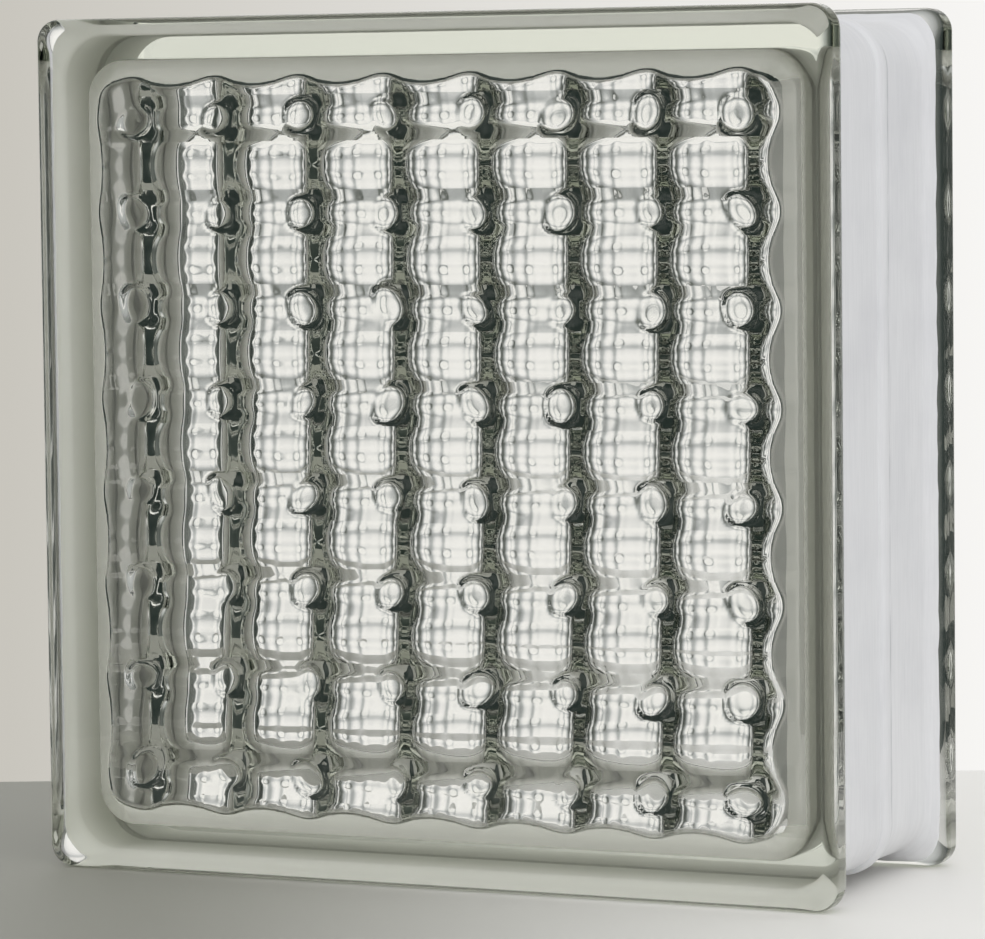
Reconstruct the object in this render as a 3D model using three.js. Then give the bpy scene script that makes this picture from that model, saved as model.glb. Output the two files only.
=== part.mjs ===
// Hollow glass block, pressed as two open halves that are fused at mid depth, with a thin
// white coating in the mortar recess that runs round its four edges.
//
// Millimetres, +Z up. The block stands on one edge. X runs along its width, Y through its
// depth with the front face at -Y, and the origin is the middle of its footprint.

import * as THREE from 'three';

// Overall block.
const blockSide = 197;
const blockDepth = 79;

// Flange: the thick rim that stands proud of the side wall along each face.
const flangeCornerRadius = 5.2;
const flangeArrisRadius = 2.6;
const flangeFlat = 5.4;
const shoulderRun = 5;

// Mortar recess between the two flanges.
const recessDepth = 3.7;
const recessCornerRadius = 10.5;

// Bead of glass squeezed out along the fused seam.
const beadRise = 1.2;
const beadHalfWidth = 2.6;

// Side wall.
const wallThickness = 5.9;
const wallDraft = 0.8;
const cavityCornerRadius = 10;

// Pressed relief on the inside of each face: round-topped ribs that cross, with a dished
// hollow between them. Angles are in degrees from the plane of the face.
const ribCount = 8;
const hollowThickness = 4.3;
const ribCrestRadius = 2;
const ribFlankRun = 2.5;
const ribFlankFootAngle = 26;
const ribFlankTopAngle = 40;
const reliefMargin = 2.9;

// Round button where two ribs cross: the ribs level off and the button stands on them.
const crossingLift = 1.3;
const buttonRise = 2.8;
const buttonRadius = 3.6;

// Sloping rim between the relief and the side wall.
const rimThickness = 14;
const rimSlopeAngle = 54;
const windowCornerRadius = 7;

// Coating in the recess.
const coatingThickness = 0.4;
const coatingStartInset = 1.5;

// Fineness of the curved surfaces.
const cornerSteps = 8;
const arrisSteps = 4;
const beadSteps = 4;

const halfSide = blockSide / 2;
const halfDepth = blockDepth / 2;
const recessHalfWidth = halfSide - recessDepth;
const cavityHalfWidth = recessHalfWidth - wallThickness;

// Section of one rib, from the middle of the hollow up to the crest.
const flankFootSlope = Math.tan(THREE.MathUtils.degToRad(ribFlankFootAngle));
const flankTopSlope = Math.tan(THREE.MathUtils.degToRad(ribFlankTopAngle));
const reliefHalfWidth = cavityHalfWidth - reliefMargin;
const ribPitch = (2 * reliefHalfWidth) / ribCount;
const crestReach = ribCrestRadius * Math.sin(THREE.MathUtils.degToRad(ribFlankTopAngle));
const flankReach = crestReach + ribFlankRun;
const hollowReach = ribPitch / 2 - flankReach;
const hollowRadius = hollowReach / Math.sin(THREE.MathUtils.degToRad(ribFlankFootAngle));
const hollowRise = heightOnArc(hollowRadius, hollowReach);
const flankRise = (ribFlankRun * (flankFootSlope + flankTopSlope)) / 2;
const ribRise = hollowRise + flankRise + heightOnArc(ribCrestRadius, crestReach);
const crossingRise = ribRise + crossingLift;

// How far an arc of this radius has risen at a distance from its lowest point.
function heightOnArc(radius, distance) {
  return radius - Math.sqrt(radius ** 2 - distance ** 2);
}

// ---------------------------------------------------------------------------
// Outlines of the outside: each is { halfWidth, cornerRadius, y }, one rounded square.

function flangeOutline(inset, y) {
  return { halfWidth: halfSide - inset, cornerRadius: flangeCornerRadius - inset, y };
}

// Round front arris and straight edge of the flange, from the face backwards.
function flangeOutlines() {
  const outlines = [];
  for (let step = 0; step <= arrisSteps; step += 1) {
    const angle = (step / arrisSteps) * Math.PI / 2;
    const inset = flangeArrisRadius * (1 - Math.sin(angle));
    const depth = flangeArrisRadius * (1 - Math.cos(angle));
    outlines.push(flangeOutline(inset, -halfDepth + depth));
  }
  outlines.push(flangeOutline(0, -halfDepth + flangeArrisRadius + flangeFlat));
  return outlines;
}

// A point of the shoulder, which slopes from the flange edge down to the recessed wall.
function shoulderOutline(inset) {
  const share = inset / recessDepth;
  return {
    halfWidth: halfSide - inset,
    cornerRadius: THREE.MathUtils.lerp(flangeCornerRadius, recessCornerRadius, share),
    y: -halfDepth + flangeArrisRadius + flangeFlat + shoulderRun * share,
  };
}

// Wall of the recess up to the top of the bead at the seam, which lies at y = 0.
function recessOutlines() {
  const outlines = [shoulderOutline(coatingStartInset), shoulderOutline(recessDepth)];
  for (let step = 0; step <= beadSteps; step += 1) {
    const angle = (step / beadSteps) * Math.PI / 2;
    const rise = beadRise * Math.sin(angle);
    outlines.push({
      halfWidth: recessHalfWidth + rise,
      cornerRadius: recessCornerRadius + rise,
      y: -beadHalfWidth * Math.cos(angle),
    });
  }
  return outlines;
}

// ---------------------------------------------------------------------------
// Rings: closed loops of points, anticlockwise as seen from the front.

function outlineRing({ halfWidth, cornerRadius, y }) {
  const centre = halfWidth - cornerRadius;
  const shape = new THREE.Shape();
  shape.absarc(centre, centre, cornerRadius, 0, Math.PI / 2);
  shape.absarc(-centre, centre, cornerRadius, Math.PI / 2, Math.PI);
  shape.absarc(-centre, -centre, cornerRadius, Math.PI, 1.5 * Math.PI);
  shape.absarc(centre, -centre, cornerRadius, 1.5 * Math.PI, 2 * Math.PI);
  return shape.getPoints(cornerSteps / 2).map((point) => new THREE.Vector3(point.x, y, point.y));
}

// ---------------------------------------------------------------------------
// Relief of the face, as thickness of glass over the plane (x, z).

function distanceFromCrest(across) {
  const fromFirstHollow = across + reliefHalfWidth;
  const fromHollow = fromFirstHollow - ribPitch * Math.round(fromFirstHollow / ribPitch);
  return ribPitch / 2 - Math.abs(fromHollow);
}

function ribHeight(across) {
  const fromCrest = distanceFromCrest(across);
  const fromHollow = ribPitch / 2 - fromCrest;
  if (fromHollow <= hollowReach) return heightOnArc(hollowRadius, fromHollow);
  if (fromCrest <= crestReach) return ribRise - heightOnArc(ribCrestRadius, fromCrest);
  const upFlank = fromHollow - hollowReach;
  const steepening = (flankTopSlope - flankFootSlope) / (2 * ribFlankRun);
  return hollowRise + flankFootSlope * upFlank + steepening * upFlank ** 2;
}

function buttonHeight(x, z) {
  const fromCentre = Math.hypot(distanceFromCrest(x), distanceFromCrest(z));
  if (fromCentre >= buttonRadius) return 0;
  return crossingRise + buttonRise - heightOnArc(buttonRadius, fromCentre);
}

function reliefThickness(x, z) {
  const ribs = Math.min(ribHeight(x) + ribHeight(z), crossingRise);
  return hollowThickness + Math.max(ribs, buttonHeight(x, z));
}

// Grid lines of the relief: the crest, the two edges of the crest and the two feet of the
// flanks of each rib, and the middle of each hollow between two ribs.
function reliefGridLines() {
  const lines = [];
  for (let rib = 0; rib < ribCount; rib += 1) {
    const crest = -reliefHalfWidth + (rib + 0.5) * ribPitch;
    if (rib > 0) lines.push(crest - ribPitch / 2);
    lines.push(crest - flankReach, crest - crestReach, crest, crest + crestReach, crest + flankReach);
  }
  return lines;
}

const gridLines = reliefGridLines();
const lastLine = gridLines.length - 1;

// ---------------------------------------------------------------------------
// Rings inside the cavity, with one point for each grid line on each side and one for each
// corner, anticlockwise as seen from the front.

// Pulls a point of a square towards the rounded corner of that square.
function roundedPoint(x, z, halfWidth, cornerRadius) {
  const centre = halfWidth - cornerRadius;
  const beyondX = Math.abs(x) - centre;
  const beyondZ = Math.abs(z) - centre;
  if (beyondX <= 0 || beyondZ <= 0) return { x, z };
  const pull = Math.max(beyondX, beyondZ) / Math.hypot(beyondX, beyondZ);
  return {
    x: Math.sign(x) * (centre + beyondX * pull),
    z: Math.sign(z) * (centre + beyondZ * pull),
  };
}

function turnedToSide(point, side) {
  if (side === 0) return point;
  if (side === 1) return { x: -point.z, z: point.x };
  if (side === 2) return { x: -point.x, z: -point.z };
  return { x: point.z, z: -point.x };
}

// halfWidthAt may follow the ribs along a side, and yAt the relief.
function cavityRing(cornerRadius, halfWidthAt, yAt) {
  const ring = [];
  for (let side = 0; side < 4; side += 1) {
    for (const along of [...gridLines, reliefHalfWidth]) {
      const halfWidth = halfWidthAt(along);
      const height = along === reliefHalfWidth ? halfWidth : along;
      const { x, z } = turnedToSide(roundedPoint(halfWidth, height, halfWidth, cornerRadius), side);
      ring.push(new THREE.Vector3(x, yAt(x, z), z));
    }
  }
  return ring;
}

// Foot of the sloping rim: it moves outwards where a rib runs into it, which scallops it.
function rimFootHalfWidthAt(along) {
  const slopeRise = rimThickness - hollowThickness - ribHeight(along);
  return cavityHalfWidth - slopeRise / Math.tan(THREE.MathUtils.degToRad(rimSlopeAngle));
}

function cavityRings() {
  return [
    cavityRing(cavityCornerRadius, () => cavityHalfWidth + wallDraft, () => 0),
    cavityRing(cavityCornerRadius, () => cavityHalfWidth, () => -halfDepth + rimThickness),
    cavityRing(windowCornerRadius, rimFootHalfWidthAt, (x, z) => -halfDepth + reliefThickness(x, z)),
  ];
}

// ---------------------------------------------------------------------------
// Closed surfaces.

class SurfaceBuilder {
  constructor() {
    this.points = [];
    this.triangles = [];
  }

  addRing(ring) {
    const first = this.points.length;
    this.points.push(...ring);
    return ring.map((_, index) => first + index);
  }

  // Joins two rings of the same count. The surface faces out when the rings run front to back
  // on the outside, outside to inside on the seam, and back to front in the cavity. A point
  // that the second ring names several times in a row gets a fan of triangles.
  joinRings(ringA, ringB) {
    const count = ringA.length;
    for (let index = 0; index < count; index += 1) {
      const next = (index + 1) % count;
      this.triangles.push([ringA[index], ringB[next], ringA[next]]);
      if (ringB[index] !== ringB[next]) {
        this.triangles.push([ringA[index], ringB[index], ringB[next]]);
      }
    }
  }

  // Fills a flat ring, or the flat band between a ring and a smaller one inside it.
  fillFlat(outer, inner, facesBack) {
    const holes = inner.length > 0 ? [this.flatPoints(inner)] : [];
    const members = [...outer, ...inner];
    for (const face of THREE.ShapeUtils.triangulateShape(this.flatPoints(outer), holes)) {
      const corners = face.map((index) => members[index]);
      if (this.turnsAnticlockwise(corners) === facesBack) corners.reverse();
      this.triangles.push(corners);
    }
  }

  flatPoints(ring) {
    return ring.map((index) => new THREE.Vector2(this.points[index].x, this.points[index].z));
  }

  turnsAnticlockwise(corners) {
    return THREE.ShapeUtils.area(this.flatPoints(corners)) > 0;
  }

  // The ribbed floor of the cavity inside its edge ring, whose members are in ring order.
  fillRelief(edge) {
    const grid = gridLines.map((z) => this.addRing(gridLines.map((x) => (
      new THREE.Vector3(x, -halfDepth + reliefThickness(x, z), z)
    ))));
    for (let row = 0; row < lastLine; row += 1) {
      for (let column = 0; column < lastLine; column += 1) {
        const [lowLeft, lowRight] = [grid[row][column], grid[row][column + 1]];
        const [highLeft, highRight] = [grid[row + 1][column], grid[row + 1][column + 1]];
        this.triangles.push([lowLeft, highRight, lowRight]);
        this.triangles.push([lowLeft, highLeft, highRight]);
      }
    }
    const right = grid.map((row) => row[lastLine]);
    const top = [...grid[lastLine]].reverse();
    const left = grid.map((row) => row[0]).reverse();
    const bottom = grid[0];
    const gridEdge = [right, top, left, bottom].flatMap((side) => [...side, side[lastLine]]);
    this.joinRings(edge, gridEdge);
  }

  geometry() {
    const geometry = new THREE.BufferGeometry();
    geometry.setFromPoints(this.points);
    geometry.setIndex(this.triangles.flat());
    geometry.computeVertexNormals();
    return geometry;
  }
}

// One pressed half, with its face at the front and its open side on the seam.
function pressedHalfGeometry() {
  const builder = new SurfaceBuilder();
  const outside = [...flangeOutlines(), ...recessOutlines()].map((outline) => (
    builder.addRing(outlineRing(outline))
  ));
  const cavity = cavityRings().map((ring) => builder.addRing(ring));
  builder.fillFlat(outside[0], [], false);
  for (let index = 1; index < outside.length; index += 1) {
    builder.joinRings(outside[index - 1], outside[index]);
  }
  builder.fillFlat(outside[outside.length - 1], cavity[0], true);
  for (let index = 1; index < cavity.length; index += 1) {
    builder.joinRings(cavity[index - 1], cavity[index]);
  }
  builder.fillRelief(cavity[cavity.length - 1]);
  return builder.geometry();
}

// The coating lies on the recess from shoulder to shoulder, over the bead.
function coatingGeometry() {
  const glassSide = recessOutlines();
  const backSide = glassSide.slice(0, -1).reverse().map((outline) => ({ ...outline, y: -outline.y }));
  const underside = [...glassSide, ...backSide];
  const topside = underside.map((outline) => ({
    halfWidth: outline.halfWidth + coatingThickness,
    cornerRadius: outline.cornerRadius + coatingThickness,
    y: outline.y,
  }));
  const builder = new SurfaceBuilder();
  const loop = [...topside, ...underside.reverse()].map((outline) => (
    builder.addRing(outlineRing(outline))
  ));
  loop.forEach((ring, index) => builder.joinRings(ring, loop[(index + 1) % loop.length]));
  return builder.geometry();
}

// ---------------------------------------------------------------------------
// Materials and assembly.

const clearGlass = new THREE.MeshStandardMaterial({ color: 0xb9c8b8, roughness: 0.03, metalness: 0 });
const rearGlass = new THREE.MeshStandardMaterial({ color: 0xaebfae, roughness: 0.03, metalness: 0 });
const whiteCoating = new THREE.MeshStandardMaterial({ color: 0xd6d8dd, roughness: 0.6, metalness: 0 });

const glassBlock = new THREE.Group();

const halfGeometry = pressedHalfGeometry();

const frontHalf = new THREE.Mesh(halfGeometry, clearGlass);
frontHalf.name = 'front_half';
glassBlock.add(frontHalf);

const backHalf = new THREE.Mesh(halfGeometry.clone(), rearGlass);
backHalf.name = 'back_half';
backHalf.rotation.z = Math.PI;
glassBlock.add(backHalf);

const edgeCoating = new THREE.Mesh(coatingGeometry(), whiteCoating);
edgeCoating.name = 'edge_coating';
glassBlock.add(edgeCoating);

glassBlock.position.z = halfSide;

export default glassBlock;
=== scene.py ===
"""Dresses a hollow glass block: two pressed halves of clear glass and the coating on its edges."""

import math
import random

import bmesh
import bpy
from bpy.props import FloatProperty, FloatVectorProperty, IntProperty, PointerProperty
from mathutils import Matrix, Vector, noise


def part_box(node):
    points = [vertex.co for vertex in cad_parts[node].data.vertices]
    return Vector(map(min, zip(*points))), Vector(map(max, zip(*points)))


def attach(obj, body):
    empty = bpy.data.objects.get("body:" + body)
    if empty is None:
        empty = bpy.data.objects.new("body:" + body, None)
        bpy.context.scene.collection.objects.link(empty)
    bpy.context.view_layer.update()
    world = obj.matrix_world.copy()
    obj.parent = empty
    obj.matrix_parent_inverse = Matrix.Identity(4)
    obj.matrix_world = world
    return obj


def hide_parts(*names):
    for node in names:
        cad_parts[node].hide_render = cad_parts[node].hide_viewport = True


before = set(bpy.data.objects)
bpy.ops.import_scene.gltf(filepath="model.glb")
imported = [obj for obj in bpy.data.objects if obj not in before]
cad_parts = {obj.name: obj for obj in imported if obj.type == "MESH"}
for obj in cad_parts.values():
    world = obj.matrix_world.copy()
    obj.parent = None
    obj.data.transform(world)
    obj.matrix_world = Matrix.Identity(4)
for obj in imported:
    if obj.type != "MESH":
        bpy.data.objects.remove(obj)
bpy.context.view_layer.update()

bl_info = {
    "name": "Hollow Glass Block",
    "version": (1, 0, 0),
    "blender": (4, 5, 0),
    "location": "3D View > Sidebar > Glass Block",
    "description": "Presses the two halves of a hollow glass block, coats its edges and sets the stage",
    "category": "Object",
}

# The block as the frame gives it, in metres.
FRONT_LOW, FRONT_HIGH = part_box("front_half")
BLOCK_SIDE = FRONT_HIGH.x - FRONT_LOW.x
HALF_SIDE = BLOCK_SIDE / 2
HALF_DEPTH = -FRONT_LOW.y
BLOCK_MIDDLE_HEIGHT = (FRONT_LOW.z + FRONT_HIGH.z) / 2

# How finely the pieces are divided.
SQUARE_SIDES = 4
STRAIGHT_STEPS = 60
CORNER_STEPS = 12
ARRIS_STEPS = 8
FILLET_STEPS = 5
BEAD_STEPS = 8
HOLLOW_STEPS = 4
FLANK_STEPS = 4
FOOT_STEPS = 2
CREST_STEPS = 5
MARGIN_STEPS = 18

# Lines of the relief's mesh that are closer than this are the same line.
SAME_PLACE = 1e-6

# Each half has random buttons of its own.
FRONT_SEED = 5
BACK_SEED = 12

# Where the bead starts, as a share of its height, and how the wall of the hollow is drawn.
BEAD_START_SHARE = 0.1
WALL_FOOT_RISE = 0.002
WALL_FOOT_DRAFT = 0.25
WALL_MIDDLE_DRAFT = 0.60

# Edges that turn by less than this are shaded smooth.
GLASS_SMOOTH_ANGLE = math.radians(40)
COAT_SMOOTH_ANGLE = math.radians(50)

# The attribute that marks the coat's outer side, how thin its edge is, and how that edge wanders.
OUTSIDE = "outside"
COAT_EDGE_SHARE = 0.25
WANDER_WAVES = 160.0
FINE_WANDER_WAVES = 700.0
FINE_WANDER_SHARE = 0.5
WANDER_LAYER = 0.05


def length(name, description, default):
    """A size in metres."""
    kind = {"subtype": "DISTANCE", "unit": "LENGTH"}
    return FloatProperty(name=name, description=description, default=default, min=0.0, precision=5, **kind)


def angle(name, description, degrees):
    """An angle, given in degrees."""
    kind = {"subtype": "ANGLE", "unit": "ROTATION"}
    return FloatProperty(name=name, description=description, default=math.radians(degrees), **kind)


def colour(name, description, default):
    """A linear colour."""
    kind = {"subtype": "COLOR", "size": 3, "min": 0.0, "max": 1.0}
    return FloatVectorProperty(name=name, description=description, default=default, **kind)


def share(name, description, default):
    """A plain number between 0 and 1."""
    kind = {"subtype": "FACTOR", "min": 0.0, "max": 1.0}
    return FloatProperty(name=name, description=description, default=default, **kind)


def amount(name, description, default):
    """A plain number."""
    return FloatProperty(name=name, description=description, default=default)


class EdgeSizes(bpy.types.PropertyGroup):
    """Sizes of the flange, the mortar recess and the seam bead."""

    arris_radius: length("Arris radius", "Rounding between a face and its flange", 0.0026)
    flange_flat: length("Flange flat", "Straight strip of the flange beyond the arris", 0.0054)
    flange_corner: length("Flange corner", "Corner radius of the flange", 0.0052)
    heel_run: length("Heel run", "Length of flange strip that the heel rounding takes", 0.0024)
    heel_inset: length("Heel inset", "Depth at which the heel rounding ends on the shoulder", 0.0019)
    shoulder_run: length("Shoulder run", "Depth along the block that the sloped shoulder takes", 0.0050)
    recess_depth: length("Recess depth", "How far the mortar recess lies below the flange", 0.0037)
    recess_corner: length("Recess corner", "Corner radius of the recess floor", 0.0105)
    foot_rise: length("Foot rise", "Height over the recess floor where the foot rounding starts", 0.0009)
    foot_run: length("Foot run", "Length of recess floor that the foot rounding takes", 0.0016)
    bead_rise: length("Bead rise", "Height of the bead along the seam", 0.0012)
    bead_half_width: length("Bead half width", "Half the width of the bead", 0.0026)
    bead_foot: length("Bead foot", "Width of the small hollow beside the bead", 0.0008)
    support: length("Support width", "Width of the narrow strips that keep the flats flat", 0.0003)


class GlassSizes(bpy.types.PropertyGroup):
    """Sizes of the hollow and of the relief pressed into the inside of a face."""

    wall_thickness: length("Wall thickness", "Side wall at the foot of the relief", 0.0059)
    wall_draft: length("Wall draft", "How much the hollow widens from its foot to the seam", 0.0008)
    cavity_corner: length("Hollow corner", "Corner radius of the hollow at its foot", 0.0090)
    seam_corner: length("Seam corner", "Corner radius of the hollow at the seam", 0.0105)
    seam_lap: length("Seam lap", "How far each half runs past the seam, as fused glass", 0.00001)
    face_thickness: length("Face thickness", "Glass in the middle of each hollow of the relief", 0.0043)
    rim_thickness: length("Rim thickness", "Glass under the rim slope at the side wall", 0.0140)
    rim_run: length("Rim run", "Width of the rim slope", 0.0044)
    rim_blend: length("Rim blend", "Rounding between the rim slope and the relief", 0.0012)
    relief_margin: length("Relief margin", "From the side wall to the middle of the last hollow", 0.0029)
    rib_count: IntProperty(name="Ribs", description="Ribs across a face, each way", default=8, min=1)
    crest_radius: length("Crest radius", "Rounding along the top of a rib", 0.0055)
    flank_run: length("Flank run", "Width of the straight flank of a rib", 0.0025)
    flank_slope: angle("Flank slope", "Slope of the flank", 30.0)
    foot_radius: length("Foot radius", "Rounding between the hollow and the flank", 0.0010)
    hollow_slope: angle("Hollow slope", "Slope at the edge of a hollow", 29.0)
    crossing_lift: length("Crossing lift", "Top of a crossing over the middle height of the relief", 0.0032)
    crossing_blend: length("Crossing blend", "Rounding at the edge of a crossing", 0.0016)
    button_height: length("Button height", "Top of a button over the middle height of the relief", 0.0037)
    button_radius: length("Button radius", "Radius of the round button on each crossing", 0.0045)
    button_drop: length("Button drop", "How far a button falls from its top to its edge", 0.0030)
    button_squareness: amount("Button squareness", "Two for a round dome, more for a flat top", 3.0)
    button_blend: length("Button blend", "Rounding where a button grows out of its crossing", 0.0006)
    button_wander: length("Button wander", "How far a button may lie from its crossing", 0.0004)
    button_spread: share("Button spread", "How much the buttons differ in height", 0.06)
    button_scale: share("Button scale", "How much the buttons differ in radius", 0.10)
    button_oval: share("Button oval", "How far from round a button may be", 0.12)
    button_tilt: share("Button tilt", "How far the top of a button may lean", 0.08)


class GlassFinish(bpy.types.PropertyGroup):
    """Finish of the clear glass."""

    refraction: amount("Refraction", "Index of refraction of soda-lime glass", 1.52)
    tint: colour("Tint", "Colour of thick glass", (0.77, 0.83, 0.66))
    density: amount("Density", "How strongly thickness tints the glass, for each metre", 7.0)
    ripple: length("Ripple", "Depth of the faint unevenness of the surface", 0.00003)
    ripple_scale: amount("Ripple scale", "Waves of unevenness in each metre", 70.0)


class CoatingSizes(bpy.types.PropertyGroup):
    """Sizes and finish of the coating."""

    thickness: length("Thickness", "Thickness of the coat", 0.00030)
    bite: length("Bite", "How far the coat is keyed into the glass", 0.00006)
    front_start: length("Front start", "Depth on the front shoulder at which the coat starts", 0.0015)
    back_start: length("Back start", "Depth on the back shoulder at which the coat ends", 0.0013)
    edge_fade: length("Edge fade", "Width over which the coat thins to its edge", 0.0009)
    edge_wander: length("Edge wander", "How unevenly the edge of the coat runs", 0.00035)
    base: colour("Colour", "Colour of the dry coat", (0.78, 0.785, 0.80))
    shade: colour("Shade", "Colour where the coat is thin", (0.73, 0.735, 0.755))
    # Painted shade: the crease colour is a dark line painted on the coat just behind the bead, where shade
    # falls past its crest.
    crease: colour("Crease", "Colour of the thin coat in the crease beside the bead", (0.45, 0.46, 0.48))
    # Painted light and shade on the coat's inner side, seen through the glass: near white on the shoulders,
    # darker and greyer by the seam.
    inside: colour("Inside", "Thick coat on a shoulder, through the glass", (1.0, 0.99, 0.95))
    inside_seam_shade: colour("Inside wall", "Thin coat by the seam, through the glass", (0.70, 0.70, 0.64))
    roughness: share("Roughness", "Roughness of the coat", 0.5)
    streak_depth: length("Streak depth", "Depth of the brush marks", 0.00004)


class StageSettings(bpy.types.PropertyGroup):
    """Floor, backdrop, light and camera."""

    floor_left: colour("Floor left", "Colour of the floor on the left", (0.34, 0.34, 0.30))
    floor_right: colour("Floor right", "Colour of the floor on the right", (0.95, 0.94, 0.91))
    backdrop_left: colour("Backdrop left", "Backdrop on the left", (0.58, 0.56, 0.51))
    backdrop_right: colour("Backdrop right", "Backdrop on the right", (0.93, 0.92, 0.90))
    light_level: amount("Light level", "Soft light from all round on plain surfaces", 0.80)
    key_level: amount("Key level", "Extra soft light from the front and above", 0.47)
    focal_length: FloatProperty(
        name="Focal length", description="Focal length of the camera", default=178.15,
        subtype="DISTANCE_CAMERA", unit="CAMERA",
    )


# ---------------------------------------------------------------- outlines and sections


def outline_point(index, reach, corner, depth):
    """Point of a rounded square round the block: reach is half its width, depth its place along Y."""
    side, step = divmod(index, STRAIGHT_STEPS + CORNER_STEPS)
    middle = reach - corner
    if step < STRAIGHT_STEPS:
        across = reach
        up = middle * (2 * step / STRAIGHT_STEPS - 1)
    else:
        turn = (step - STRAIGHT_STEPS) / CORNER_STEPS * math.pi / 2
        across = middle + corner * math.cos(turn)
        up = middle + corner * math.sin(turn)
    for _ in range(side % SQUARE_SIDES):
        across, up = -up, across
    return Vector((across, depth, BLOCK_MIDDLE_HEIGHT + up))


def outline_count():
    """Number of points in an outline."""
    return SQUARE_SIDES * (STRAIGHT_STEPS + CORNER_STEPS)


def curve_between(start, bend, end, steps):
    """Points of a quadratic curve from start to end, drawn towards bend."""
    points = []
    for step in range(steps + 1):
        t = step / steps
        points.append(start * (1 - t) ** 2 + bend * 2 * t * (1 - t) + end * t ** 2)
    return points


def shoulder_station(edge, inset):
    """Section point on the shoulder that lies inset below the flange."""
    part = inset / edge.recess_depth
    corner = edge.flange_corner + (edge.recess_corner - edge.flange_corner) * part
    depth = -HALF_DEPTH + edge.arris_radius + edge.flange_flat + edge.shoulder_run * part
    return Vector((HALF_SIDE - inset, corner, depth))


def flange_stations(edge):
    """Section of a half's outside from the flat face to the heel: (reach, corner, depth)."""
    stations = []
    lip = edge.arris_radius + edge.support
    stations.append(Vector((HALF_SIDE - lip, edge.flange_corner - lip, -HALF_DEPTH)))
    for step in range(ARRIS_STEPS + 1):
        turn = step / ARRIS_STEPS * math.pi / 2
        inset = edge.arris_radius * (1 - math.sin(turn))
        depth = -HALF_DEPTH + edge.arris_radius * (1 - math.cos(turn))
        stations.append(Vector((HALF_SIDE - inset, edge.flange_corner - inset, depth)))
    flat_start = -HALF_DEPTH + edge.arris_radius + edge.support
    heel = -HALF_DEPTH + edge.arris_radius + edge.flange_flat
    for depth in (flat_start, heel - edge.heel_run - edge.support):
        stations.append(Vector((HALF_SIDE, edge.flange_corner, depth)))
    return stations


def recess_stations(edge):
    """Section of a half's outside from the heel to the seam: (reach, corner, depth)."""
    heel = -HALF_DEPTH + edge.arris_radius + edge.flange_flat
    floor_reach = HALF_SIDE - edge.recess_depth
    heel_start = Vector((HALF_SIDE, edge.flange_corner, heel - edge.heel_run))
    heel_bend = Vector((HALF_SIDE, edge.flange_corner, heel))
    stations = curve_between(heel_start, heel_bend, shoulder_station(edge, edge.heel_inset), FILLET_STEPS)
    foot_inset = edge.recess_depth - edge.foot_rise
    between = (edge.heel_inset + foot_inset) / 2
    stations.append(shoulder_station(edge, edge.heel_inset + edge.support))
    stations.append(shoulder_station(edge, between))
    stations.append(shoulder_station(edge, foot_inset - edge.support))
    foot_end = Vector((floor_reach, edge.recess_corner, heel + edge.shoulder_run + edge.foot_run))
    foot_bend = shoulder_station(edge, edge.recess_depth)
    stations += curve_between(shoulder_station(edge, foot_inset), foot_bend, foot_end, FILLET_STEPS)
    bead_start = -edge.bead_half_width - edge.bead_foot
    floor_middle = (foot_end.z + bead_start) / 2
    for depth in (foot_end.z + edge.support, floor_middle, bead_start - edge.support, bead_start):
        stations.append(Vector((floor_reach, edge.recess_corner, depth)))
    for step in range(BEAD_STEPS + 1):
        turn = step / BEAD_STEPS * math.pi / 2
        rise = edge.bead_rise * max(math.sin(turn), BEAD_START_SHARE)
        depth = -edge.bead_half_width * math.cos(turn)
        stations.append(Vector((floor_reach + rise, edge.recess_corner + rise, depth)))
    return stations


def smooth_higher(a, b, blend):
    """The higher of two heights, rounded over blend where they meet."""
    part = min(max(0.5 + 0.5 * (a - b) / blend, 0.0), 1.0)
    return b * (1 - part) + a * part + blend * part * (1 - part)


def smooth_lower(a, b, blend):
    """The lower of two heights, rounded over blend where they meet."""
    return -smooth_higher(-a, -b, blend)


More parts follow.
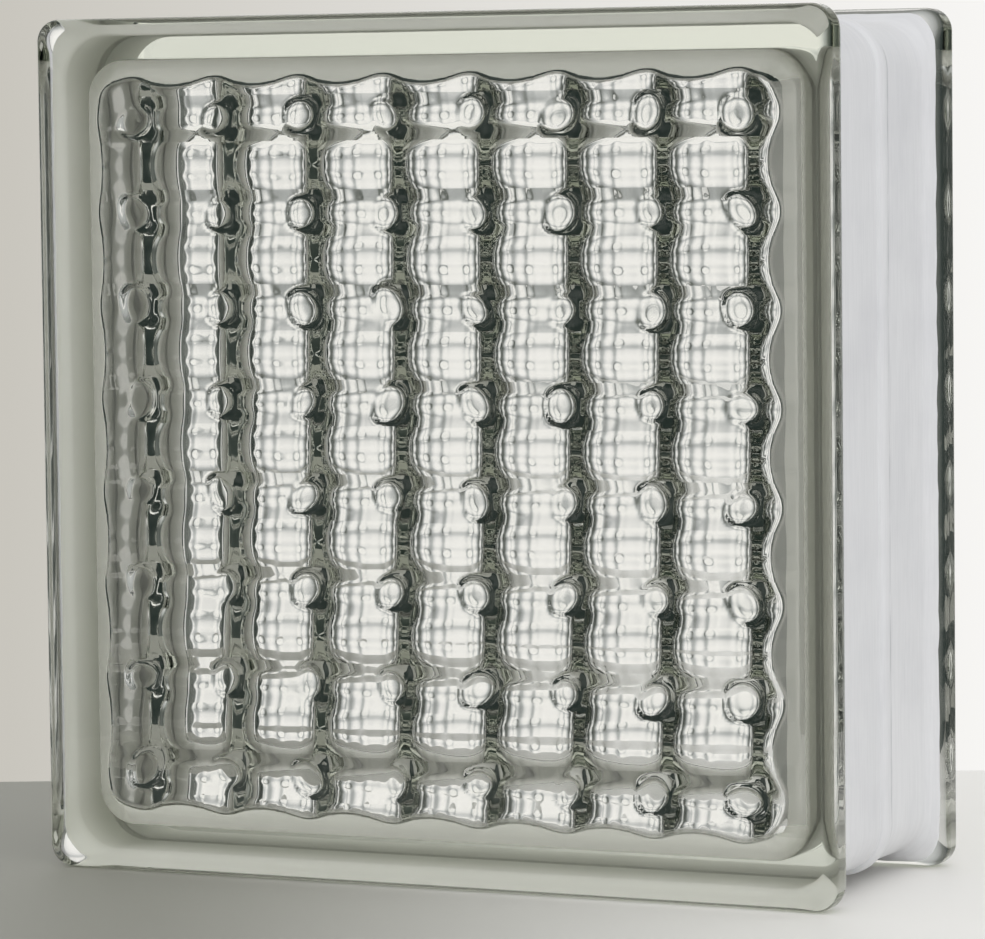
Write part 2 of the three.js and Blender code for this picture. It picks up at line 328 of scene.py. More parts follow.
class Rib:
    """Section of a rib: a round hollow, a rounded foot, a straight flank and a round crest, every pitch."""

    def __init__(self, sizes):
        self.sizes = sizes
        self.relief_half_width = HALF_SIDE - bpy.context.scene.block_edge.recess_depth
        self.relief_half_width -= sizes.wall_thickness + sizes.relief_margin
        self.pitch = 2 * self.relief_half_width / sizes.rib_count
        self.crest_reach = sizes.crest_radius * math.sin(sizes.flank_slope)
        self.foot_reach = sizes.foot_radius * (math.sin(sizes.flank_slope) - math.sin(sizes.hollow_slope))
        self.hollow_reach = self.pitch / 2 - self.crest_reach - sizes.flank_run - self.foot_reach
        self.hollow_radius = self.hollow_reach / math.sin(sizes.hollow_slope)
        self.hollow_rise = self.hollow_radius * (1 - math.cos(sizes.hollow_slope))
        foot_rise = sizes.foot_radius * (math.cos(sizes.hollow_slope) - math.cos(sizes.flank_slope))
        self.flank_start = self.hollow_rise + foot_rise
        crest_rise = sizes.crest_radius * (1 - math.cos(sizes.flank_slope))
        self.rise = self.flank_start + sizes.flank_run * math.tan(sizes.flank_slope) + crest_rise

    def height(self, place):
        """Height above the bottom of the hollows, where a hollow lies on the middle of the face."""
        sizes = self.sizes
        from_hollow = abs((place + self.pitch / 2) % self.pitch - self.pitch / 2)
        if from_hollow <= self.hollow_reach:
            return self.hollow_radius - math.sqrt(self.hollow_radius ** 2 - from_hollow ** 2)
        if from_hollow <= self.hollow_reach + self.foot_reach:
            along = sizes.foot_radius * math.sin(sizes.hollow_slope) + from_hollow - self.hollow_reach
            drop = sizes.foot_radius * math.cos(sizes.hollow_slope)
            return self.hollow_rise + drop - math.sqrt(sizes.foot_radius ** 2 - along ** 2)
        from_crest = self.pitch / 2 - from_hollow
        if from_crest >= self.crest_reach:
            up_flank = self.crest_reach + sizes.flank_run - from_crest
            return self.flank_start + up_flank * math.tan(sizes.flank_slope)
        radius = sizes.crest_radius
        return self.rise - radius + math.sqrt(radius ** 2 - from_crest ** 2)

    def lines(self):
        """Places across a face where the mesh of the relief has its lines."""
        rib_half_width = self.pitch / 2 - self.hollow_reach
        steps = []
        for step in range(2 * HOLLOW_STEPS):
            steps.append(self.hollow_reach * (step / HOLLOW_STEPS - 1))
        for step in range(FOOT_STEPS):
            steps.append(self.hollow_reach + self.foot_reach * step / FOOT_STEPS)
        for step in range(FLANK_STEPS):
            steps.append(self.hollow_reach + self.foot_reach + self.sizes.flank_run * step / FLANK_STEPS)
        for step in range(2 * CREST_STEPS):
            steps.append(self.pitch / 2 + self.crest_reach * (step / CREST_STEPS - 1))
        for step in range(FLANK_STEPS):
            steps.append(self.pitch / 2 + self.crest_reach + self.sizes.flank_run * step / FLANK_STEPS)
        for step in range(FOOT_STEPS):
            steps.append(self.pitch / 2 + rib_half_width - self.foot_reach * (1 - step / FOOT_STEPS))
        cavity_half_width = self.relief_half_width + self.sizes.relief_margin
        margin_start = cavity_half_width - self.sizes.rim_run - 2 * self.sizes.rim_blend
        margin = cavity_half_width - margin_start
        places = [-cavity_half_width + margin * step / MARGIN_STEPS for step in range(MARGIN_STEPS)]
        for rib in range(-self.sizes.rib_count // 2, self.sizes.rib_count // 2 + 1):
            for step in steps:
                place = rib * self.pitch + step
                if abs(place) < margin_start - SAME_PLACE:
                    places.append(place)
        places += [-place for place in places[MARGIN_STEPS - 1::-1]]
        return places


class Relief:
    """Thickness of a pressed face: ribs both ways, a button on each crossing and a sloped rim."""

    def __init__(self, sizes, seed):
        self.sizes = sizes
        self.rib = Rib(sizes)
        self.draw = random.Random(seed)
        self.buttons = {}
        for row in range(-sizes.rib_count // 2, sizes.rib_count // 2):
            for column in range(-sizes.rib_count // 2, sizes.rib_count // 2):
                self.buttons[column, row] = self.new_button(column, row)

    def spread(self, width):
        """A random number as far as width to either side of nought."""
        return self.draw.uniform(-width, width)

    def new_button(self, column, row):
        """One button, a little off its crossing, out of round and leaning."""
        sizes = self.sizes
        return {
            "x": (column + 0.5) * self.rib.pitch + self.spread(sizes.button_wander),
            "z": (row + 0.5) * self.rib.pitch + self.spread(sizes.button_wander),
            "turn": self.draw.uniform(0, math.pi),
            "oval": 1 + self.spread(sizes.button_oval),
            "radius": sizes.button_radius * (1 + self.spread(sizes.button_scale)),
            "top": sizes.button_height * (1 + self.spread(sizes.button_spread)),
            "lean_x": self.spread(sizes.button_tilt),
            "lean_z": self.spread(sizes.button_tilt),
        }

    def button_height(self, x, z):
        """Height of the nearest button above the middle height of the relief, or None beyond it."""
        column = math.floor(x / self.rib.pitch)
        row = math.floor(z / self.rib.pitch)
        button = self.buttons.get((column, row))
        if button is None:
            return None
        across = x - button["x"]
        up = z - button["z"]
        along = (across * math.cos(button["turn"]) + up * math.sin(button["turn"])) * button["oval"]
        beside = (up * math.cos(button["turn"]) - across * math.sin(button["turn"])) / button["oval"]
        radius = button["radius"]
        distance = math.hypot(along, beside)
        if distance >= radius:
            return None
        fullness = math.sqrt(1 - (distance / radius) ** self.sizes.button_squareness)
        drop = self.sizes.button_drop * (1 - fullness)
        return button["top"] - drop + across * button["lean_x"] + up * button["lean_z"]

    def thickness(self, x, z, from_wall):
        """Glass between the flat face and the hollow at a point of the face."""
        sizes = self.sizes
        height = self.rib.height(x) + self.rib.height(z) - self.rib.rise
        height = smooth_lower(height, sizes.crossing_lift, sizes.crossing_blend)
        button = self.button_height(x, z)
        if button is not None:
            height = smooth_higher(height, button, sizes.button_blend)
        middle_thickness = sizes.face_thickness + self.rib.rise
        slope = (sizes.rim_thickness - middle_thickness) * (1 - from_wall / sizes.rim_run)
        return smooth_higher(middle_thickness + height, middle_thickness + slope, sizes.rim_blend)


def rounded_point(x, z, reach, corner):
    """A point of a square drawn in to the rounded square inside it, and its distance from that edge."""
    middle = reach - corner
    over_x = abs(x) - middle
    over_z = abs(z) - middle
    if over_x <= 0 or over_z <= 0:
        return x, z, reach - max(abs(x), abs(z))
    pull = max(over_x, over_z) / math.hypot(over_x, over_z)
    from_edge = corner - max(over_x, over_z)
    return math.copysign(middle + over_x * pull, x), math.copysign(middle + over_z * pull, z), from_edge


# ---------------------------------------------------------------- modelling steps


def start_ring(name, stations):
    """Adds a ring of edges along the first station and leaves it selected in edit mode."""
    bpy.ops.object.select_all(action="DESELECT")
    bpy.ops.mesh.primitive_circle_add(vertices=outline_count(), radius=HALF_SIDE, fill_type="NOTHING")
    piece = bpy.context.active_object
    piece.name = name
    piece.data.name = name
    bpy.ops.object.mode_set(mode="EDIT")
    bpy.ops.mesh.select_all(action="SELECT")
    mesh = bmesh.from_edit_mesh(piece.data)
    place = mesh.verts.layers.int.new("place")
    for number, vertex in enumerate(ring_in_order(mesh)):
        vertex[place] = number
        vertex.co = outline_point(number, *stations[0])
    bmesh.update_edit_mesh(piece.data)
    return piece


def ring_in_order(mesh):
    """The vertices of a single ring, walked from one to the next."""
    mesh.verts.ensure_lookup_table()
    ring = [mesh.verts[0]]
    edge = ring[0].link_edges[0]
    while len(ring) < len(mesh.verts):
        ring.append(edge.other_vert(ring[-1]))
        edge = next(other for other in ring[-1].link_edges if other is not edge)
    return ring


def extrude_to(piece, point_at):
    """Extrudes the selected ring and sets each new vertex on the point for its place in the ring."""
    bpy.ops.mesh.extrude_region_move()
    mesh = bmesh.from_edit_mesh(piece.data)
    place = mesh.verts.layers.int["place"]
    for vertex in mesh.verts:
        if vertex.select:
            vertex.co = point_at(vertex[place])
    bmesh.update_edit_mesh(piece.data)


def mark_ring(piece, layer, value):
    """Gives the selected ring's vertices a value in a layer."""
    mesh = bmesh.from_edit_mesh(piece.data)
    marks = mesh.verts.layers.float[layer]
    for vertex in mesh.verts:
        if vertex.select:
            vertex[marks] = value
    bmesh.update_edit_mesh(piece.data)


def select_where(piece, edge_test):
    """Selects the edges that pass a test, and nothing else."""
    bpy.ops.mesh.select_mode(type="EDGE")
    bpy.ops.mesh.select_all(action="DESELECT")
    mesh = bmesh.from_edit_mesh(piece.data)
    for edge in mesh.edges:
        if edge_test(edge):
            edge.select_set(True)
    bmesh.update_edit_mesh(piece.data)


def near_face(side):
    """Whether an edge is open and nearer to the front face than to the seam."""
    return side.is_boundary and side.verts[0].co.y < -HALF_DEPTH / 2


def finish_mesh(piece, smooth_angle):
    """Points the faces outwards, leaves edit mode and shades the soft edges smooth."""
    bpy.ops.mesh.select_all(action="SELECT")
    bpy.ops.mesh.normals_make_consistent(inside=False)
    mesh = bmesh.from_edit_mesh(piece.data)
    mesh.verts.layers.int.remove(mesh.verts.layers.int["place"])
    bmesh.update_edit_mesh(piece.data)
    bpy.ops.object.mode_set(mode="OBJECT")
    check = bmesh.new()
    check.from_mesh(piece.data)
    open_edges = sum(1 for edge in check.edges if not edge.is_manifold)
    volume = check.calc_volume(signed=True)
    check.free()
    if open_edges or volume <= 0:
        raise RuntimeError(f"{piece.name} is not closed: {open_edges} open edges, volume {volume}")
    bpy.ops.object.shade_smooth_by_angle(angle=smooth_angle)


def add_relief(piece, sizes, relief):
    """Adds the pressed inside of the face as a fine grid, with the places of its border numbered."""
    edge = bpy.context.scene.block_edge
    lines = relief.rib.lines()
    last = len(lines) - 1
    reach = HALF_SIDE - edge.recess_depth - sizes.wall_thickness
    bpy.ops.mesh.select_all(action="DESELECT")
    bpy.ops.mesh.primitive_grid_add(x_subdivisions=last, y_subdivisions=last, size=2.0)
    mesh = bmesh.from_edit_mesh(piece.data)
    place = mesh.verts.layers.int["place"]
    for vertex in mesh.verts:
        if not vertex.select:
            continue
        column = round((vertex.co.x + 1) / 2 * last)
        row = round((vertex.co.y + 1) / 2 * last)
        vertex[place] = row * len(lines) + column
        x, z, from_wall = rounded_point(lines[column], lines[row], reach, sizes.cavity_corner)
        thickness = relief.thickness(x, z, from_wall)
        vertex.co = (x, -HALF_DEPTH + thickness, BLOCK_MIDDLE_HEIGHT + z)
    bmesh.update_edit_mesh(piece.data)
    return lines


def press_half(name, seed):
    """One pressed half, open to the back: flange, recess, relief, rim and half of the seam bead."""
    edge = bpy.context.scene.block_edge
    sizes = bpy.context.scene.block_glass
    stations = flange_stations(edge) + recess_stations(edge)
    stations[-1].z = sizes.seam_lap
    piece = start_ring(name, stations)
    bpy.ops.mesh.select_mode(type="EDGE")
    for station in stations[1:]:
        extrude_to(piece, lambda number, station=station: outline_point(number, *station))
    select_where(piece, near_face)
    bpy.ops.mesh.edge_face_add()
    relief = Relief(sizes, seed)
    lines = add_relief(piece, sizes, relief)
    foot_reach = HALF_SIDE - edge.recess_depth - sizes.wall_thickness
    foot_depth = -HALF_DEPTH + sizes.rim_thickness + WALL_FOOT_RISE
    middle_corner = (sizes.cavity_corner + sizes.seam_corner) / 2
    select_where(piece, near_face)
    wall = (
        (foot_reach + WALL_FOOT_DRAFT * sizes.wall_draft, sizes.cavity_corner, foot_depth),
        (foot_reach + WALL_MIDDLE_DRAFT * sizes.wall_draft, middle_corner, -HALF_DEPTH / 3),
        (foot_reach + sizes.wall_draft, sizes.seam_corner, sizes.seam_lap),
    )
    for reach, corner, depth in wall:
        def wall_point(number, reach=reach, corner=corner, depth=depth):
            row, column = divmod(number, len(lines))
            across = lines[column] / foot_reach * reach
            up = lines[row] / foot_reach * reach
            x, z, _ = rounded_point(across, up, reach, corner)
            return Vector((x, depth, BLOCK_MIDDLE_HEIGHT + z))
        extrude_to(piece, wall_point)
    select_where(piece, lambda side: side.is_boundary)
    bpy.ops.mesh.bridge_edge_loops()
    finish_mesh(piece, GLASS_SMOOTH_ANGLE)
    return piece


def covered_stations(edge, inset):
    """Section of the recess from a depth on the shoulder to the seam."""
    recess = recess_stations(edge)
    place = next(number for number, station in enumerate(recess) if HALF_SIDE - station.x > inset)
    before, after = recess[place - 1], recess[place]
    part = (before.x - (HALF_SIDE - inset)) / (before.x - after.x)
    start = before.lerp(after, part)
    return [start] + [station for station in recess[place:] if station.z > start.z + edge.support / 3]


def coating_sections(edge, sizes):
    """Section of the coat from its front edge to its back edge: (reach, corner, depth)."""
    front = covered_stations(edge, sizes.front_start)
    back = covered_stations(edge, sizes.back_start)
    turned = [Vector((station.x, station.y, -station.z)) for station in back]
    return front + turned[-2::-1]


def brush_coating(name):
    """The coat on the edges: a thin closed skin over the recess, the bead and the shoulders."""
    edge = bpy.context.scene.block_edge
    sizes = bpy.context.scene.block_coating
    section = coating_sections(edge, sizes)
    along = [0.0]
    for before, after in zip(section, section[1:]):
        along.append(along[-1] + math.hypot(after.x - before.x, after.z - before.z))
    normals = []
    for number in range(len(section)):
        before = section[max(number - 1, 0)]
        after = section[min(number + 1, len(section) - 1)]
        run = math.hypot(after.x - before.x, after.z - before.z)
        normals.append(((after.z - before.z) / run, -(after.x - before.x) / run))
    last = len(section) - 1
    loose_stations = (0, 1, last - 1, last)
    toward = section[1] - section[0]
    toward = toward / math.hypot(toward.x, toward.z)

    def skin_point(number, station, lift):
        """A point of the coat: lift is its height over the glass, less near the coat's edge."""
        from_edge = min(along[station], along[-1] - along[station])
        full = min(from_edge / sizes.edge_fade, 1.0)
        if lift > 0:
            lift *= COAT_EDGE_SHARE + (1 - COAT_EDGE_SHARE) * math.sin(full * math.pi / 2)
        slide = 0.0
        if station in loose_stations:
            flat = outline_point(number, *section[station])
            spot = Vector((flat.x, flat.z, math.copysign(WANDER_LAYER, flat.y)))
            wander = noise.noise(spot * WANDER_WAVES)
            wander += FINE_WANDER_SHARE * noise.noise(spot * FINE_WANDER_WAVES)
            slide = sizes.edge_wander * wander * (1 - full)
        reach, corner, depth = section[station]
        reach += normals[station][0] * lift + toward.x * slide
        corner += normals[station][0] * lift
        depth += normals[station][1] * lift + (toward.z if depth < 0 else -toward.z) * slide
        return outline_point(number, reach, corner, depth)

    order = [(station, sizes.thickness) for station in range(len(section))]
    order += [(station, -sizes.bite) for station in reversed(range(len(section)))]
    piece = start_ring(name, section)
    mesh = bmesh.from_edit_mesh(piece.data)
    place = mesh.verts.layers.int["place"]
    outside = mesh.verts.layers.float.new(OUTSIDE)
    for vertex in mesh.verts:
        vertex.co = skin_point(vertex[place], *order[0])
        vertex[outside] = 1.0
    bmesh.update_edit_mesh(piece.data)
    bpy.ops.mesh.select_mode(type="EDGE")
    for station, lift in order[1:]:
        extrude_to(piece, lambda number, station=station, lift=lift: skin_point(number, station, lift))
        mark_ring(piece, OUTSIDE, 1.0 if lift > 0 else 0.0)
    select_where(piece, lambda side: side.is_boundary)
    bpy.ops.mesh.bridge_edge_loops()
    finish_mesh(piece, COAT_SMOOTH_ANGLE)
    return piece


# ---------------------------------------------------------------- materials

# Grain of the finishes: waves for each metre, and how many finer layers lie on them.
RIPPLE_DETAIL = 1.0
PATCH_WAVES = 55.0
PATCH_DETAIL = 3.0
BRUSH_WAVES = (90.0, 1600.0, 90.0)
BRUSH_DETAIL = 3.0

# Parts of the grain at which the coat goes from its shade to its colour, and at which the brush streaks
# begin and reach full strength; the streaks darken the coat a little and break up the painted shade in the
# crease.
SHADE_UP_TO = 0.25
COLOUR_FROM = 0.55
STREAK_MASK_LOW = 0.35
STREAK_MASK_HIGH = 0.65

# Places along the depth, from the seam: where the painted shade on the coat's inner side by the seam ends,
# where the painted light on its inner side at the shoulders is full, and the stretch with the painted
# crease shade.
SEAM_SHADE_REACH = 0.004
SHOULDER_LIGHT_START = 0.029
CREASE_REACH = 0.006
STREAK_SHARE = 0.12
CREASE_STOPS = ((0.55, STREAK_SHARE), (0.70, 0.9), (0.82, 0.3), (0.95, STREAK_SHARE))


def new_material(name):
    """An empty node material and its node tree."""
    material = bpy.data.materials.new(name)
    material.use_nodes = True
    material.node_tree.nodes.clear()
    return material, material.node_tree


def opaque(colour_setting):
    """A colour with its fourth number, as a socket takes it."""
    return (*colour_setting, 1.0)


def add_node(tree, kind, inputs, **settings):
    """Adds a node: each of its named inputs gets a plain value, or is wired to an output."""
    node = tree.nodes.new("ShaderNode" + kind)
    for name, value in settings.items():
        setattr(node, name, value)
    for name, value in inputs.items():
        if isinstance(value, bpy.types.NodeSocket):
            tree.links.new(value, node.inputs[name])
        else:
            node.inputs[name].default_value = value
    return node


def add_math(tree, operation, *values):
    """The result of a reckoning on plain numbers or outputs."""
    return add_node(tree, "Math", dict(enumerate(values)), operation=operation).outputs["Value"]


def add_along(tree, direction, axis):
    """How far a direction goes along an axis."""
    return add_node(tree, "VectorMath", {0: direction, 1: axis}, operation="DOT_PRODUCT").outputs["Value"]


def add_mix(tree, factor, low, high, data_type="RGBA"):
    """A colour or number that goes from low to high with the factor."""
    node = add_node(tree, "Mix", {"Factor": factor, "A": low, "B": high}, data_type=data_type)
    return node.outputs["Result"]


def add_range(tree, value, low, high, interpolation="LINEAR"):
    """A number that goes from nought to one as value goes from low to high."""
    limits = {"Value": value, "From Min": low, "From Max": high}
    return add_node(tree, "MapRange", limits, interpolation_type=interpolation).outputs["Result"]


def add_noise(tree, vector, waves, detail):
    """Soft noise of so many waves for each metre."""
    return add_node(tree, "TexNoise", {"Vector": vector, "Scale": waves, "Detail": detail}).outputs["Fac"]


def add_ramp(tree, value, stops):
    """A ramp read at value, with a stop for each (place, brightness or colour)."""
    ramp = add_node(tree, "ValToRGB", {"Fac": value})
    elements = ramp.color_ramp.elements
    while len(elements) < len(stops):
        elements.new(0.5)
    for element, (place, level) in zip(elements, stops):
        element.position = place
        element.color = (level, level, level, 1.0) if isinstance(level, float) else opaque(level)
    return ramp.outputs["Color"]


def clear_glass():
    """Fire polished clear glass with a faint green tint in its thickness."""
    finish = bpy.context.scene.block_finish
    material, tree = new_material("clear glass")
    place = add_node(tree, "TexCoord", {}).outputs["Object"]
    ripple = add_noise(tree, place, finish.ripple_scale, RIPPLE_DETAIL)
    bump = add_node(tree, "Bump", {"Height": ripple, "Distance": finish.ripple})
    surface = add_node(tree, "BsdfPrincipled", {
        "Base Color": (1.0, 1.0, 1.0, 1.0),
        "Roughness": 0.0,
        "IOR": finish.refraction,
        "Transmission Weight": 1.0,
        "Normal": bump.outputs["Normal"],
    })
    body = add_node(tree, "VolumeAbsorption", {"Color": opaque(finish.tint), "Density": finish.density})
    add_node(tree, "OutputMaterial", {"Surface": surface.outputs["BSDF"], "Volume": body.outputs["Volume"]})
    return material


def white_coating():
    """Satin white coat with brush marks and thin patches, painted shade in the crease behind the bead
    broken up by the brush streaks, and painted light and shade on its inner side.
    """
    sizes = bpy.context.scene.block_coating
    material, tree = new_material("brushed white coating")
    place = add_node(tree, "TexCoord", {}).outputs["Object"]
    depth = add_node(tree, "SeparateXYZ", {"Vector": place}).outputs["Y"]
    patches = add_noise(tree, place, PATCH_WAVES, PATCH_DETAIL)
    tone = add_ramp(tree, patches, ((SHADE_UP_TO, sizes.shade), (COLOUR_FROM, sizes.base)))
    brush = add_node(tree, "Mapping", {"Vector": place, "Scale": BRUSH_WAVES})
    streaks = add_noise(tree, brush.outputs["Vector"], 1.0, BRUSH_DETAIL)
    marks = add_node(tree, "Bump", {"Height": streaks, "Distance": sizes.streak_depth})

    # Painted shade: a dark line a few millimetres behind the seam, beside the bead, broken up by the brush
    # streaks; away from it the streaks only darken the coat a little.
    crease = add_ramp(tree, add_range(tree, depth, 0.0, CREASE_REACH), CREASE_STOPS)
    streak_mask = add_range(tree, streaks, STREAK_MASK_LOW, STREAK_MASK_HIGH)
    outer = add_mix(tree, add_math(tree, "MULTIPLY", crease, streak_mask), tone, opaque(sizes.crease))

    # Painted light and shade inside: the coat's inner side goes from a darker colour by the seam to near
    # white on the shoulders.
    from_seam = add_math(tree, "ABSOLUTE", depth)
    shoulder_light = add_range(tree, from_seam, SEAM_SHADE_REACH, SHOULDER_LIGHT_START, "SMOOTHSTEP")
    inner = add_mix(tree, shoulder_light, opaque(sizes.inside_seam_shade), opaque(sizes.inside))

    side = add_node(tree, "Attribute", {}, attribute_name=OUTSIDE)
    surface = add_node(tree, "BsdfPrincipled", {
        "Base Color": add_mix(tree, side.outputs["Fac"], inner, outer),
        "Roughness": sizes.roughness,
        "Normal": marks.outputs["Normal"],
    })
    add_node(tree, "OutputMaterial", {"Surface": surface.outputs["BSDF"]})
    return material


# ---------------------------------------------------------------- stage

# The camera, in metres and radians.
VIEW_TURN = math.radians(25.307)
CAMERA_PLACE = (0.480467, -1.016157, 0.172354)
CAMERA_TURN = (math.radians(85.915), math.radians(0.674), VIEW_TURN)
SENSOR_WIDTH = 36.0

# The floor, measured along and across the camera's view.
FLOOR_BEHIND = 0.155
FLOOR_AHEAD = 0.15
FLOOR_WIDTH = 0.6
FLOOR_DROP = 0.0002
FLOOR_GREY_END = -0.09
FLOOR_PALE_START = 0.10
FLOOR_ROUGHNESS = 0.6

# The studio that the glass shows: brightness by how squarely a ray leaves along the axis.
STUDIO_AXIS = (-0.31, 0.95, 0.0)
STUDIO_DARK = (0.020, 0.028, 0.025)
STUDIO_STOPS = (
    (0.0, STUDIO_DARK),
    (0.62, (0.045, 0.055, 0.050)),
    (0.82, (0.17, 0.18, 0.165)),
    (0.93, (0.52, 0.53, 0.52)),
    (0.975, (0.86, 0.85, 0.82)),
    (1.0, (1.0, 0.98, 0.94)),
)
STUDIO_LIFT = 0.9
STUDIO_LIFT_START = 0.35
STUDIO_DIP = 0.15
BACKDROP_REACH = 0.10
ANY_BOUNCE = 0.5

# The side that the key light comes from, and how narrow it is.
KEY_AXIS = (0.49, -0.60, 0.63)
KEY_TIGHTNESS = 3.0

# How often light may bounce: it has to cross both halves and come back off the coat.
GLASS_BOUNCES = 10
GLOSSY_BOUNCES = 8
DIFFUSE_BOUNCES = 4


def add_camera():
    """The camera."""
    lens = bpy.data.cameras.new("camera")
    lens.sensor_width = SENSOR_WIDTH
    lens.lens = bpy.context.scene.block_stage.focal_length
    camera = bpy.data.objects.new("camera", lens)
    camera.location = CAMERA_PLACE
    camera.rotation_euler = CAMERA_TURN
    bpy.context.scene.collection.objects.link(camera)
    bpy.context.scene.camera = camera


def pale_floor():
    """Dull floor that goes from grey on the left to pale on the right."""
    stage = bpy.context.scene.block_stage
    material, tree = new_material("pale floor")
    place = add_node(tree, "TexCoord", {}).outputs["Object"]
    across = add_node(tree, "SeparateXYZ", {"Vector": place}).outputs["X"]
    grey_end = FLOOR_GREY_END / FLOOR_WIDTH
    pale_start = FLOOR_PALE_START / FLOOR_WIDTH
    paleness = add_range(tree, across, grey_end, pale_start, "SMOOTHSTEP")
    surface = add_node(tree, "BsdfPrincipled", {
        "Base Color": add_mix(tree, paleness, opaque(stage.floor_left), opaque(stage.floor_right)),
        "Roughness": FLOOR_ROUGHNESS,
    })
    add_node(tree, "OutputMaterial", {"Surface": surface.outputs["BSDF"]})
    return material


def add_floor():
    """A plain floor that ends a little way behind the block."""
    bpy.ops.object.select_all(action="DESELECT")
    bpy.ops.mesh.primitive_plane_add(size=1.0)
    floor = bpy.context.active_object
    floor.name = "floor"
    floor.scale = (FLOOR_WIDTH, FLOOR_BEHIND + FLOOR_AHEAD, 1.0)
    back = Vector((-math.sin(VIEW_TURN), math.cos(VIEW_TURN), 0.0))
    floor.location = back * (FLOOR_BEHIND - FLOOR_AHEAD) / 2 - Vector((0.0, 0.0, FLOOR_DROP))
    floor.rotation_euler = (0.0, 0.0, VIEW_TURN)
    floor.data.materials.append(pale_floor())


def add_world():
    """Soft light from all round, and a studio of pale backdrop and dark sides for the glass to show."""
    stage = bpy.context.scene.block_stage
    world = bpy.data.worlds.new("studio")
    bpy.context.scene.world = world
    world.use_nodes = True
    world.cycles.sampling_method = "NONE"
    tree = world.node_tree
    tree.nodes.clear()
    direction = add_node(tree, "TexCoord", {}).outputs["Generated"]
    path = add_node(tree, "LightPath", {})

    ahead = add_along(tree, direction, STUDIO_AXIS)
    reflected = add_math(tree, "GREATER_THAN", path.outputs["Glossy Depth"], ANY_BOUNCE)
    facing = add_mix(tree, reflected, add_math(tree, "ABSOLUTE", ahead), ahead, "FLOAT")
    up = add_node(tree, "SeparateXYZ", {"Vector": direction}).outputs["Z"]
    rise = add_math(tree, "MAXIMUM", add_math(tree, "SUBTRACT", up, STUDIO_LIFT_START), 0.0)
    dip = add_math(tree, "MULTIPLY", add_math(tree, "MINIMUM", up, 0.0), -STUDIO_DIP)
    lift = add_math(tree, "MULTIPLY_ADD", rise, STUDIO_LIFT, dip)
    studio = add_ramp(tree, add_math(tree, "ADD", lift, facing), STUDIO_STOPS)

    sideways = add_along(tree, direction, (math.cos(VIEW_TURN), math.sin(VIEW_TURN), 0.0))
    spread = add_range(tree, sideways, -BACKDROP_REACH, BACKDROP_REACH)
    backdrop = add_ramp(tree, spread, ((0.0, stage.backdrop_left), (1.0, stage.backdrop_right)))

    key_side = add_math(tree, "MAXIMUM", add_along(tree, direction, KEY_AXIS), 0.0)
    key = add_math(tree, "POWER", key_side, KEY_TIGHTNESS)
    level = add_math(tree, "MULTIPLY_ADD", key, stage.key_level, stage.light_level)
    soft = add_node(tree, "Background", {"Color": (1.0, 1.0, 1.0, 1.0), "Strength": level})
    shown = add_node(tree, "Background", {"Color": studio})
    seen = add_node(tree, "Background", {"Color": backdrop})
    on_surfaces = add_math(tree, "GREATER_THAN", path.outputs["Diffuse Depth"], ANY_BOUNCE)
    light = add_node(tree, "MixShader", {
        "Fac": on_surfaces, 1: shown.outputs["Background"], 2: soft.outputs["Background"],
    })
    view = add_node(tree, "MixShader", {
        "Fac": path.outputs["Is Camera Ray"], 1: light.outputs["Shader"], 2: seen.outputs["Background"],
    })
    add_node(tree, "OutputWorld", {"Surface": view.outputs["Shader"]})


def set_bounces(cycles):
    """Lets light bounce often enough, and keeps the glass sharp."""
    cycles.max_bounces = GLASS_BOUNCES
    cycles.transmission_bounces = GLASS_BOUNCES
    cycles.glossy_bounces = GLOSSY_BOUNCES
    cycles.diffuse_bounces = DIFFUSE_BOUNCES
    cycles.blur_glossy = 0.0


# ---------------------------------------------------------------- operators


class GLASSBLOCK_OT_press_halves(bpy.types.Operator):
    """Press the two glass halves with their relief, flanges and recess"""

    bl_idname = "glassblock.press_halves"
    bl_label = "Press Glass Halves"

    def execute(self, context):
        material = clear_glass()
        front = press_half("front_half_glass", FRONT_SEED)
        back = press_half("back_half_glass", BACK_SEED)
        bpy.ops.object.select_all(action="DESELECT")
        back.select_set(True)
        context.view_layer.objects.active = back
        back.rotation_euler = (0.0, 0.0, math.pi)
        bpy.ops.object.transform_apply(location=False, rotation=True, scale=False)
        for piece, node in ((front, "front_half"), (back, "back_half")):
            piece.data.materials.append(material)
            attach(piece, "root")
            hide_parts(node)
        return {"FINISHED"}


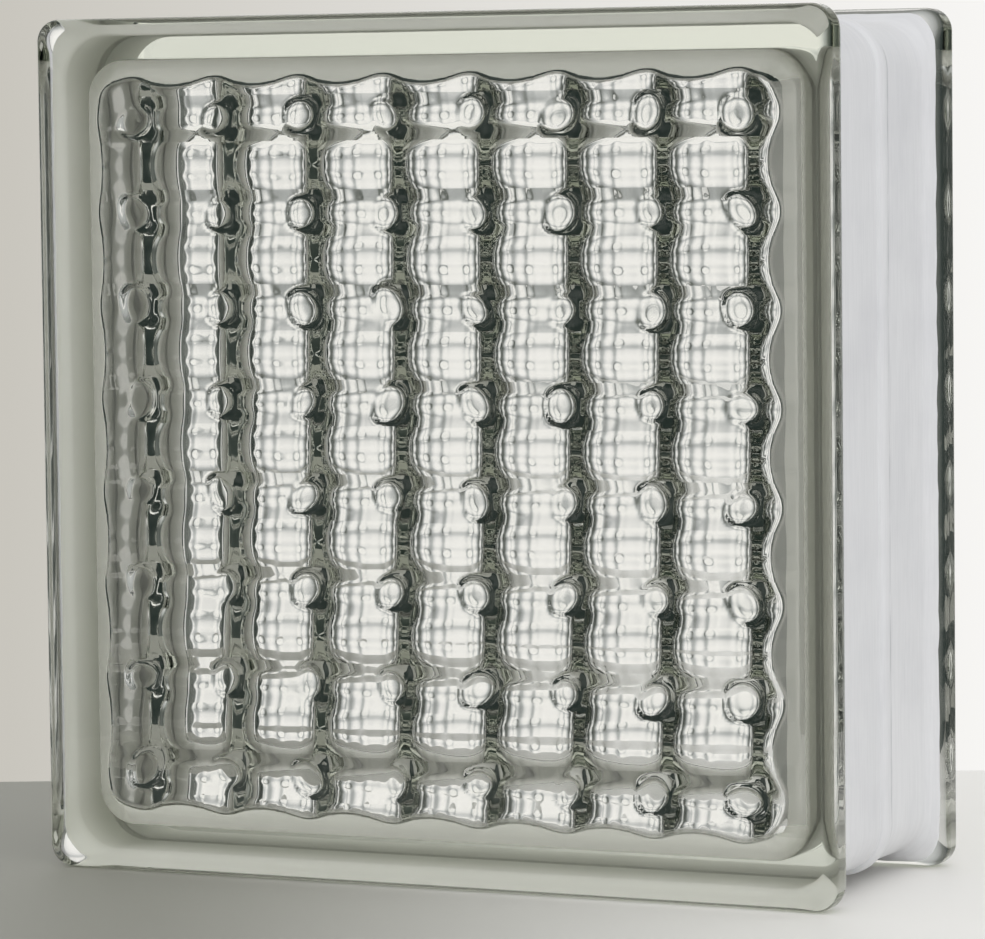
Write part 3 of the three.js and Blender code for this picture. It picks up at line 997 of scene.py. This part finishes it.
class GLASSBLOCK_OT_brush_coating(bpy.types.Operator):
    """Brush the coating over the mortar recess"""

    bl_idname = "glassblock.brush_coating"
    bl_label = "Brush Edge Coating"

    def execute(self, context):
        piece = brush_coating("brushed_coating")
        piece.data.materials.append(white_coating())
        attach(piece, "root")
        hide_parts("edge_coating")
        return {"FINISHED"}


class GLASSBLOCK_OT_set_stage(bpy.types.Operator):
    """Add the camera, the floor and the soft light"""

    bl_idname = "glassblock.set_stage"
    bl_label = "Set Stage"

    def execute(self, context):
        add_camera()
        add_floor()
        add_world()
        set_bounces(context.scene.cycles)
        context.scene.view_settings.view_transform = "Standard"
        return {"FINISHED"}


class GLASSBLOCK_PT_panel(bpy.types.Panel):
    """Sizes, finishes and steps of the glass block"""

    bl_idname = "GLASSBLOCK_PT_panel"
    bl_label = "Glass Block"
    bl_space_type = "VIEW_3D"
    bl_region_type = "UI"
    bl_category = "Glass Block"

    def draw(self, context):
        layout = self.layout
        for operator in OPERATORS:
            layout.operator(operator.bl_idname)
        for name, group in SETTINGS.items():
            box = layout.box()
            box.label(text=group.__doc__)
            settings = getattr(context.scene, name)
            for field in group.__annotations__:
                box.prop(settings, field)


SETTINGS = {
    "block_edge": EdgeSizes,
    "block_glass": GlassSizes,
    "block_finish": GlassFinish,
    "block_coating": CoatingSizes,
    "block_stage": StageSettings,
}
OPERATORS = (GLASSBLOCK_OT_press_halves, GLASSBLOCK_OT_brush_coating, GLASSBLOCK_OT_set_stage)


def register():
    """Registers the classes and gives the scene its settings."""
    for name, group in SETTINGS.items():
        bpy.utils.register_class(group)
        setattr(bpy.types.Scene, name, PointerProperty(type=group))
    for operator in OPERATORS:
        bpy.utils.register_class(operator)
    bpy.utils.register_class(GLASSBLOCK_PT_panel)


def unregister():
    """Takes the settings and the classes away again."""
    bpy.utils.unregister_class(GLASSBLOCK_PT_panel)
    for operator in reversed(OPERATORS):
        bpy.utils.unregister_class(operator)
    for name, group in reversed(SETTINGS.items()):
        delattr(bpy.types.Scene, name)
        bpy.utils.unregister_class(group)


def main():
    """Builds the whole block and its stage."""
    register()
    bpy.ops.glassblock.set_stage()
    bpy.ops.glassblock.press_halves()
    bpy.ops.glassblock.brush_coating()


if __name__ == "__main__":
    main()
